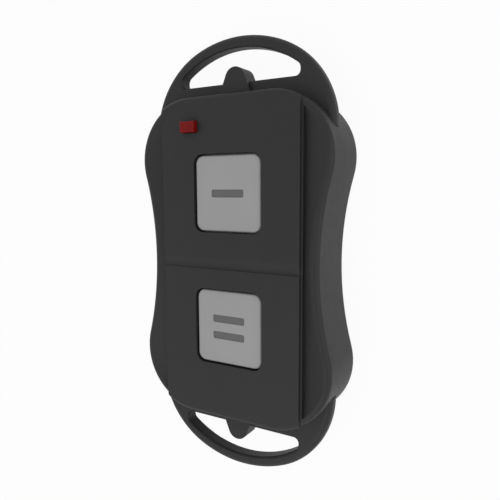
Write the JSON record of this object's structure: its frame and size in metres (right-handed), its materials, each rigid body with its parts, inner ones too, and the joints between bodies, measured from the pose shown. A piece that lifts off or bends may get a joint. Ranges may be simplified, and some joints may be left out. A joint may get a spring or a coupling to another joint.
{
  "type": "remote control",
  "caption": "Hand-held remote control with an hourglass case, square sprung keys with inlaid bars, a small red light and a keyring loop at each end.",
  "frame": {"origin": "Middle of the flat back, on the surface that the remote lies on.", "axes": "+X across the case, to the right seen from the front; +Y along the case towards the light; +Z out of the face."},
  "size_m": [0.0414, 0.0836, 0.0141],
  "materials": {
    "casing": "fine satin, moulded",
    "key": "soft matte, moulded",
    "bar": "matte, inlaid",
    "light": "dark red translucent",
    "tinned": "tinned",
    "board": "lacquered glass fibre",
    "cell": "bright pressed can",
    "steel": "plain stamped",
    "resin": "moulded black",
    "ceramic": "fired, tan",
    "copper": "bare copper"
  },
  "bodies": {
    "casing": {"rear_cover": "casing", "front_cover": "casing", "red_light": "light", "cover_screws": "steel", "light_leads": "tinned", "circuit_board": "board", "coin_cell": "cell", "positive_clip": "steel", "negative_contact": "steel", "encoder_chip": "resin", "encoder_leads": "tinned", "resonator": "cell", "transistor": "resin", "chip_capacitors": "ceramic", "chip_resistors": "resin", "loop_antenna": "copper", "switch_base_upper": "resin", "switch_cover_upper": "steel", "switch_dome_upper": "steel", "switch_terminals_upper": "tinned", "switch_base_lower": "resin", "switch_cover_lower": "steel", "switch_dome_lower": "steel", "switch_terminals_lower": "tinned"},
    "upper_key": {"button_upper": "key", "bar_upper": "bar", "switch_plunger_upper": "resin"},
    "lower_key": {"button_lower": "key", "bars_lower": "bar", "switch_plunger_lower": "resin"}
  },
  "joints": [
    {"name": "upper_key_press", "type": "slide", "parent": "casing", "child": "upper_key", "axis": [0, 0, 1], "range_m": [-0.0006, 0], "stiffness_N_per_m": 3000, "springref_m": 0.0003, "deforming": ["switch_dome_upper"]},
    {"name": "lower_key_press", "type": "slide", "parent": "casing", "child": "lower_key", "axis": [0, 0, 1], "range_m": [-0.0006, 0], "stiffness_N_per_m": 3000, "springref_m": 0.0003, "deforming": ["switch_dome_lower"]}
  ]
}
